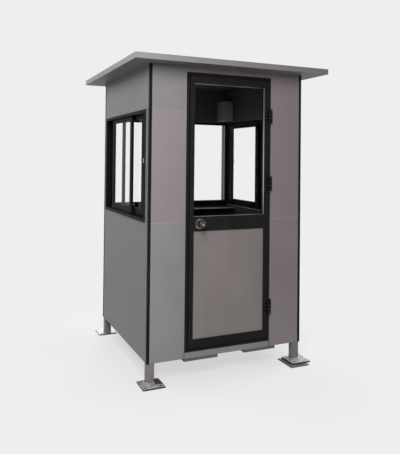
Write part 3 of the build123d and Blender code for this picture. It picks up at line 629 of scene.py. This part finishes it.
def lines(paths):
    """The points and edges of several lines; one that ends where it starts is a closed loop."""
    points, edges = [], []
    for path in paths:
        start, count = len(points), len(path) - (path[0] == path[-1])
        edges += [(start + i, start + (i + 1) % count) for i in range(len(path) - 1)]
        points += path[:count]
    return points, edges


def wall_loop(low, high, inset, depth_axis, depth):
    """A closed line round a rectangle in a wall, moved in from a box by the inset."""
    along = 1 - depth_axis
    near, far = low[along] + inset, high[along] - inset
    bottom, top = low.z + inset, high.z - inset
    corners = []
    for place, z in ((near, bottom), (far, bottom), (far, top), (near, top), (near, bottom)):
        corner = [depth, depth, z]
        corner[along] = place
        corners.append(tuple(corner))
    return corners


# Each window: the axis that goes through its wall, and which way along it is outdoors.
WINDOWS = (("left", 0, -1), ("right", 0, 1), ("back", 1, 1))

# Glazing rubber: a round lip on both faces of every pane, partly sunk in the bar that holds it.
PANE_EDGE = 8 * MM
LIP = 2.2 * MM
LIP_OFF = LIP * 0.6
window_lips = []
for side, depth_axis, outwards in WINDOWS:
    for low, high in solid_boxes(f"{side}_window_glass"):
        for depth in (low[depth_axis] - LIP_OFF, high[depth_axis] + LIP_OFF):
            window_lips.append(wall_loop(low, high, PANE_EDGE, depth_axis, depth))
lip = {"Radius": LIP, "Corner": 2.5 * MM, "Sides": 8, "Material": rubber}
grow("window_glazing_rubber", beads, *lines(window_lips), lip, "booth", "black_aluminium")

# On the door, the silver bead holds the pane's outer face, so the pane has its lip indoors only.
glass_low, glass_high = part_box("door_glass")
panel_low, panel_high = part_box("door_lower_panel")
door_lips = [wall_loop(glass_low, glass_high, PANE_EDGE, 1, glass_high.y + LIP_OFF)]
for depth in (panel_low.y - LIP_OFF, panel_high.y + LIP_OFF):
    door_lips.append(wall_loop(panel_low, panel_high, PANE_EDGE, 1, depth))
grow("door_glazing_rubber", beads, *lines(door_lips), lip, "door", "black_aluminium")

# Sealant: a thin fillet where each outer frame meets the skin, and none under the door.
SEAL_OFF = 0.4 * MM
WINDOW_GAP, DOOR_GAP = 0.6 * MM, 0.5 * MM
sealed = []
for side, depth_axis, outwards in WINDOWS:
    low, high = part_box(f"{side}_window_frame")
    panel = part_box(f"{side}_lower_panel")
    face = panel[0][depth_axis] if outwards < 0 else panel[1][depth_axis]
    sealed.append(wall_loop(low, high, -WINDOW_GAP, depth_axis, face + outwards * SEAL_OFF))
low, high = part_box("door_frame")
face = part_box("front_left_panel")[0].y - SEAL_OFF
left, right, top = low.x - DOOR_GAP, high.x + DOOR_GAP, high.z + DOOR_GAP
sealed.append([(left, face, low.z), (left, face, top), (right, face, top), (right, face, low.z)])
seal = {"Radius": 1.5 * MM, "Corner": 1 * MM, "Step": 6 * MM, "Ripple": 0.5, "Sides": 8, "Seed": 2.0}
grow("frame_sealant", beads, *lines(sealed), dict(seal, Material=sealant), "booth", "black_aluminium")

# Skin joints: a bead between the three heights of the front skins, paler where the lower joint was
# filled again.
JOINT_SUNK = 1.2 * MM
joint = {"Radius": 2 * MM, "Step": 6 * MM, "Ripple": 0.3, "Sides": 8, "Seed": 4.0}
for label, index, filler in (("lower", 0, pale_sealant), ("upper", 1, sealant)):
    joint_paths = []
    for name in ("front_left_panel", "front_right_panel"):
        below, above = sorted(solid_boxes(name), key=lambda box: box[0].z)[index:index + 2]
        z = (below[1].z + above[0].z) / 2
        joint_paths.append([(end.x, below[0].y + JOINT_SUNK, z) for end in below])
    values = dict(joint, Material=filler)
    grow(f"front_skin_{label}_joints", beads, *lines(joint_paths), values, "booth", "black_aluminium")

# Threshold seams: black sealant where the sheet under the door meets the sheets beside it.
SEAM_SUNK = 0.4 * MM
low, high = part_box("threshold_panel")
seam_y = low.y + SEAM_SUNK
seam_paths = [[(x, seam_y, low.z + MM), (x, seam_y, high.z)] for x in (low.x, high.x)]
seam = {"Radius": 2.4 * MM, "Sides": 8, "Material": rubber}
grow("threshold_seams", beads, *lines(seam_paths), seam, "booth", "black_aluminium")

# Weld: a stacked bead round the foot of every post.
WELD_OUT, WELD_UP = 0.5 * MM, 1 * MM
weld_paths = []
for name in ("front_left_post", "front_right_post", "rear_left_post", "rear_right_post"):
    low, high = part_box(name)
    x0, y0 = low.x - WELD_OUT, low.y - WELD_OUT
    x1, y1 = high.x + WELD_OUT, high.y + WELD_OUT
    ring = ((x0, y0), (x1, y0), (x1, y1), (x0, y1), (x0, y0))
    weld_paths.append([(x, y, low.z + WELD_UP) for x, y in ring])
stack = {"Radius": 4.2 * MM, "Corner": 5 * MM, "Step": 1.6 * MM, "Ripple": 0.9, "Sides": 10, "Seed": 5.0}
grow("foot_welds", beads, *lines(weld_paths), dict(stack, Material=weld), "booth", "galvanised_plate")

# Draught seal: a rubber tube along the face of the door stops, clear of the shut leaf.
SEAL_CLEAR, SEAL_LET_IN, SEAL_END = 1.5 * MM, 0.6 * MM, 4 * MM
stops = solid_boxes("door_stops")
leaf_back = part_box("door_stiles")[1].y
seal_radius = (stops[0][0].y - leaf_back - SEAL_CLEAR) / 2 + SEAL_LET_IN
seal_y = leaf_back + SEAL_CLEAR + seal_radius
left_stop = min(stops, key=lambda box: box[0].x)
right_stop = max(stops, key=lambda box: box[0].x)
left_x, right_x = ((stop[0].x + stop[1].x) / 2 for stop in (left_stop, right_stop))
foot_z = left_stop[0].z + SEAL_END
top_z = left_stop[1].z - (left_stop[1].x - left_stop[0].x) / 2
corners = ((left_x, foot_z), (left_x, top_z), (right_x, top_z), (right_x, foot_z))
seal_path = [(x, seal_y, z) for x, z in corners]
tube = {"Radius": seal_radius, "Corner": 6 * MM, "Sides": 10, "Material": rubber}
grow("door_draught_seal", beads, *lines([seal_path]), tube, "booth", "black_aluminium")

# Hinge screws: four in each plate of each hinge, staggered in two columns. A screw's place is a part
# of the plate's height, and the millimetres in from its outer edge.
SCREW_PLACES = ((0.12, 6.5), (0.37, 13), (0.63, 13), (0.88, 6.5))
PLATE_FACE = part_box("door_stiles")[0].y - 2.5 * MM
TO_FRONT = (math.pi / 2, 0.0, 0.0)


def screw_spots(name, outer):
    """Where the screws are in a node's plates, whose outer edge is their low (0) or high (1) end in X."""
    spots = []
    for plate in solid_boxes(name):
        low, high = plate
        for part, inwards in SCREW_PLACES:
            x = plate[outer].x + (1 - 2 * outer) * inwards * MM
            spots.append((x, PLATE_FACE, low.z + (high.z - low.z) * part))
    return spots


screw = {"Radius": 3.6 * MM, "Height": 1.3 * MM, "Recess": 1.1 * MM, "Facing": TO_FRONT, "Seed": 7}
screw["Material"] = black_screw
grow("hinge_screws_door", screws, screw_spots("hinge_door_plates", 0), [], screw, "door", "hinge_black")
grow("hinge_screws_frame", screws, screw_spots("hinge_frame_plates", 1), [], screw, "booth", "hinge_black")


# ---- lock details ----


def shaped(name, material, body, build):
    """A piece made in mesh code."""
    mesh = bpy.data.meshes.new(name)
    form = bmesh.new()
    build(form)
    bmesh.ops.recalc_face_normals(form, faces=form.faces)
    form.to_mesh(mesh)
    form.free()
    mesh.materials.append(material)
    return rides(new_object(name, mesh), body)


def about(middle, half):
    """The two ends of a span round its middle."""
    return middle - half, middle + half


def rounded_block(form, across, deep, upright, bevel):
    """A block that fills a span in X, in Y and in Z, with its edges rounded."""
    made = bmesh.ops.create_cube(form, size=1.0)
    low, high = (Vector(corner) for corner in zip(across, deep, upright))
    bmesh.ops.scale(form, vec=high - low, verts=made["verts"])
    bmesh.ops.translate(form, vec=(low + high) / 2, verts=made["verts"])
    edges = list({edge for vert in made["verts"] for edge in vert.link_edges})
    bmesh.ops.bevel(form, geom=edges, offset=bevel, segments=2, affect="EDGES", profile=0.5)


def disc(form, centre, radius, depth, rim):
    """A round plug along Y with a rounded rim on its -Y face."""
    made = bmesh.ops.create_cone(
        form, cap_ends=True, segments=40, radius1=radius, radius2=radius, depth=depth)
    turn = Matrix.Rotation(math.pi / 2, 3, "X")
    bmesh.ops.rotate(form, cent=(0, 0, 0), matrix=turn, verts=made["verts"])
    bmesh.ops.translate(form, vec=centre, verts=made["verts"])
    ring = [e for v in made["verts"] for e in v.link_edges if all(p.co.y < centre[1] for p in e.verts)]
    bmesh.ops.bevel(form, geom=list(set(ring)), offset=rim, segments=3, affect="EDGES", profile=0.5)


lock_x, lock_z = knob_centre.x, knob_centre.z
outer_face, inner_face = knob_low.y, knob_high.y
stile_low, stile_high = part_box("door_stiles")
leaf_mid = (stile_low.y + stile_high.y) / 2
leaf_edge = stile_low.x
jamb_face = left_stop[0].x
LATCH_PROUD = 0.8 * MM
STRIKE_PROUD = 0.9 * MM


def key_plug(form):
    """The key cylinder in the outer knob, with two lips beside its upright slot."""
    disc(form, (lock_x, outer_face - 0.2 * MM, lock_z), radius=7.5 * MM, depth=3 * MM, rim=0.6 * MM)
    proud = (outer_face - 2.6 * MM, outer_face - 1.2 * MM)
    for side in (-1, 1):
        across = about(lock_x + side * 1.7 * MM, 0.7 * MM)
        rounded_block(form, across, proud, about(lock_z, 4.2 * MM), bevel=0.3 * MM)


def key_slot(form):
    """The dark keyway between the lips."""
    deep = (outer_face - 2.0 * MM, outer_face - 1.5 * MM)
    rounded_block(form, about(lock_x, 0.9 * MM), deep, about(lock_z, 4.0 * MM), bevel=0.2 * MM)


def turn_button(form):
    """The thumb turn in the inner knob."""
    proud = (inner_face - 1 * MM, inner_face + 5 * MM)
    rounded_block(form, about(lock_x, 2.2 * MM), proud, about(lock_z, 8 * MM), bevel=1.4 * MM)


def latch_plate(form):
    """Face plate in the leaf's edge, and the latch bolt held back inside the gap."""
    let_in = leaf_edge + 1 * MM
    plate = (leaf_edge - LATCH_PROUD, let_in)
    rounded_block(form, plate, about(leaf_mid, 12 * MM), about(lock_z, 40 * MM), bevel=0.5 * MM)
    bolt = (leaf_edge - 3.2 * MM, let_in)
    rounded_block(form, bolt, about(leaf_mid, 7 * MM), about(lock_z, 9 * MM), bevel=1.0 * MM)


def strike_plate(form):
    """Striking plate on the jamb: a thin plate round a mortice, in four bars."""
    thick = (jamb_face - 0.5 * MM, jamb_face + STRIKE_PROUD)
    (y0, y1), (z0, z1) = about(leaf_mid, 14 * MM), about(lock_z, 35 * MM)
    hole_y, hole_z = about(leaf_mid, 8 * MM), about(lock_z, 11 * MM)
    rounded_block(form, thick, (y0, y1), (hole_z[1], z1), bevel=0.4 * MM)
    rounded_block(form, thick, (y0, y1), (z0, hole_z[0]), bevel=0.4 * MM)
    rounded_block(form, thick, (y0, hole_y[0]), hole_z, bevel=0.3 * MM)
    rounded_block(form, thick, (hole_y[1], y1), hole_z, bevel=0.3 * MM)


shaped("knob_key_plug", nickel, "knob", key_plug)
shaped("knob_key_slot", rubber, "knob", key_slot)
shaped("knob_turn_button", nickel, "knob", turn_button)
shaped("latch_face_plate", black_hinge, "door", latch_plate)
shaped("strike_plate", black_hinge, "booth", strike_plate)

# Two screws in each plate, which face left out of the leaf's edge and right out of the jamb.
small = {"Radius": 2.6 * MM, "Height": 1.0 * MM, "Recess": 0.8 * MM, "Seed": 11, "Material": black_screw}
to_left = dict(small, Facing=(0.0, -math.pi / 2, 0.0))
to_right = dict(small, Facing=(0.0, math.pi / 2, 0.0))
plate_screws = [(leaf_edge - LATCH_PROUD, leaf_mid, z) for z in about(lock_z, 31 * MM)]
grow("latch_plate_screws", screws, plate_screws, [], to_left, "door", "lock_nickel")
strike_screws = [(jamb_face + STRIKE_PROUD, leaf_mid, z) for z in about(lock_z, 25 * MM)]
grow("strike_plate_screws", screws, strike_screws, [], to_right, "booth", "lock_nickel")


# ---- pale strips inside, partly painted highlight and reflection, and box screws ----


def shelf_edging(form):
    """Lipped strip along the top front edge of the shelf: a real edging, drawn pale to carry painted
    highlight along that edge.
    """
    low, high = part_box("back_shelf")
    across = (low.x + 2 * MM, high.x - 2 * MM)
    deep = (low.y - 1.2 * MM, low.y + 7 * MM)
    rounded_block(form, across, deep, (high.z - 4 * MM, high.z + 1.5 * MM), bevel=0.6 * MM)


def sill_beads(form):
    """Flat bead along the foot of each sliding window, on the inside: a real bead, drawn pale to carry
    painted highlight along the frame's inner edge.
    """
    for side, depth_axis, outwards in WINDOWS[:2]:
        low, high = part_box(f"{side}_window_frame")
        face = low[depth_axis] if outwards > 0 else high[depth_axis]
        along = 1 - depth_axis
        spans = [None, None, (low.z + 10 * MM, low.z + 14 * MM)]
        spans[depth_axis] = sorted((face + outwards * 0.5 * MM, face - outwards * 2.0 * MM))
        spans[along] = (low[along] + 24 * MM, high[along] - 24 * MM)
        rounded_block(form, *spans, bevel=0.6 * MM)


def jamb_strips(form):
    """Flat strips up the right jamb of the back window, on both sides of its pane: painted reflection, pale
    where the black jamb mirrors the bright backdrop at a grazing angle.
    """
    low, high = max(solid_boxes("back_window_frame"), key=lambda box: box[0].x)
    near, far = (corner.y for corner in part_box("back_window_glass"))
    across = (low.x - 1.5 * MM, low.x + 0.4 * MM)
    upright = (low.z + 52 * MM, high.z - 20 * MM)
    for deep in ((low.y + 2 * MM, near - 6 * MM), (far + 6 * MM, high.y - 1 * MM)):
        rounded_block(form, across, deep, upright, bevel=0.5 * MM)


# Shelf edging and sill beads: pale strips that carry painted highlight along real edges.
shaped("shelf_edging", silver_bead, "booth", shelf_edging)
shaped("window_sill_beads", silver_bead, "booth", sill_beads)
shaped("back_window_jamb_strips", jamb_reflection_strip, "booth", jamb_strips)

# A screw near each corner of the box's lid.
LID_EDGE = 9 * MM
low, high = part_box("junction_box")
lid_y = low.y - 0.3 * MM
lid_heights = (low.z + LID_EDGE, high.z - LID_EDGE)
lid_spots = [(x, lid_y, z) for x in (low.x + LID_EDGE, high.x - LID_EDGE) for z in lid_heights]
lid_screw = {"Radius": 3 * MM, "Height": 1.2 * MM, "Recess": 0.9 * MM, "Facing": TO_FRONT, "Seed": 13}
lid_screw["Material"] = zinc_screw
grow("box_lid_screws", screws, lid_spots, [], lid_screw, "booth", "lock_nickel")


# ---- floor, light and camera ----


BACKDROP = linear("#eeeeee")
FLOOR_REACH = 60


def backdrop_ray(tree):
    """One for a ray from the eye, off gloss or through glass, and nought for soft light."""
    ray = add(tree, "ShaderNodeLightPath")
    straight = add(tree, "ShaderNodeMath", {
        0: ray.outputs["Is Camera Ray"], 1: ray.outputs["Is Glossy Ray"]}, operation="MAXIMUM")
    through = add(tree, "ShaderNodeMath", {
        0: straight, 1: ray.outputs["Is Transmission Ray"]}, operation="MAXIMUM")
    return through


def studio_floor():
    """A pale floor that keeps the shadow near the booth and melts into the backdrop further out."""
    mesh = bpy.data.meshes.new("studio_floor")
    corners = [(x * FLOOR_REACH, y * FLOOR_REACH, 0) for x, y in ((-1, -1), (1, -1), (1, 1), (-1, 1))]
    mesh.from_pydata(corners, [], [(0, 1, 2, 3)])
    floor = new_object("studio_floor", mesh)
    material, tree, place = new_material("pale_studio_floor")
    away = add(tree, "ShaderNodeVectorMath", {0: place}, operation="LENGTH")
    far = add(tree, "ShaderNodeMapRange", {
        "Value": away.outputs["Value"], "From Min": 0.7, "From Max": 2.0, "To Min": 0.72, "To Max": 1.0
    }, interpolation_type="SMOOTHSTEP")
    seen = backdrop_ray(tree)
    melt = add(tree, "ShaderNodeMath", {0: far, 1: seen}, operation="MULTIPLY")
    tone = add(tree, "ShaderNodeMix", {0: seen, 6: linear("#bababa"), 7: linear("#e6e6e6")}, data_type="RGBA")
    paint = add(tree, "ShaderNodeBsdfDiffuse", {"Color": tone.outputs[2]})
    glow = add(tree, "ShaderNodeEmission", {"Color": BACKDROP, "Strength": 1.0})
    both = add(tree, "ShaderNodeMixShader", {0: melt, 1: paint, 2: glow})
    add(tree, "ShaderNodeOutputMaterial", {"Surface": both})
    mesh.materials.append(material)


def studio_world():
    """Soft light from all round, with a plain pale backdrop for the eye, for gloss and for glass."""
    world = bpy.data.worlds.new("studio")
    bpy.context.scene.world = world
    world.use_nodes = True
    tree = world.node_tree
    tree.nodes.clear()
    soft = add(tree, "ShaderNodeBackground", {"Color": linear("#f2f5fa"), "Strength": 0.16})
    plain = add(tree, "ShaderNodeBackground", {"Color": BACKDROP, "Strength": 1.0})
    both = add(tree, "ShaderNodeMixShader", {0: backdrop_ray(tree), 1: soft, 2: plain})
    add(tree, "ShaderNodeOutputWorld", {"Surface": both})


def soft_box(name, place, target, size, power, colour):
    """A square area lamp that looks at a point. The eye doesn't see it, straight or through glass."""
    lamp = bpy.data.lights.new(name, "AREA")
    lamp.shape = "SQUARE"
    lamp.size = size
    lamp.energy = power
    lamp.color = linear(colour)[:3]
    item = new_object(name, lamp)
    item.location = place
    item.visible_camera = False
    item.visible_transmission = False
    item.rotation_euler = (Vector(target) - Vector(place)).to_track_quat("-Z", "Y").to_euler()


def stand_camera():
    """A camera at eye height, off the front left corner, level, with its lens shifted down."""
    place = (-1.82237, -4.23695, 1.56682)
    yaw, pitch, roll = 0.42499, 0.01478, 0.0101
    lens = bpy.data.cameras.new("standing_view")
    lens.sensor_width = 36
    lens.lens = 43.28
    lens.shift_x = -0.01425
    lens.shift_y = -0.16762
    lens.clip_end = 200
    camera = new_object("standing_view", lens)
    ahead = Vector((math.sin(yaw) * math.cos(pitch), math.cos(yaw) * math.cos(pitch), math.sin(pitch)))
    level = Vector((math.cos(yaw), -math.sin(yaw), 0.0))
    upright = level.cross(ahead)
    right = level * math.cos(roll) + upright * math.sin(roll)
    up = upright * math.cos(roll) - level * math.sin(roll)
    turn = Matrix((right, up, -ahead)).transposed().to_4x4()
    camera.matrix_world = Matrix.Translation(place) @ turn
    bpy.context.scene.camera = camera


# Each lamp: where it stands, what it looks at, its side in metres, its watts and its colour.
LAMPS = {
    "key": ((-1.9, -3.4, 3.4), (-3.6, -0.5, 1.0), 2.2, 212, "#fffaf6"),
    "side": ((-2.3, 1.1, 3.1), (-0.8, 0.25, 2.35), 1.0, 30, "#f4f8ff"),
    "right": ((4.4, 0.4, 3.4), (0.2, 0.0, 1.0), 2.2, 180, "#f6f8ff"),
    "rear": ((0.8, 4.6, 3.6), (0.0, 0.2, 1.0), 2.2, 180, "#f6f8ff"),
}

studio_floor()
studio_world()
for name, settings in LAMPS.items():
    soft_box(name, *settings)
stand_camera()
bpy.context.scene.view_settings.view_transform = "Standard"
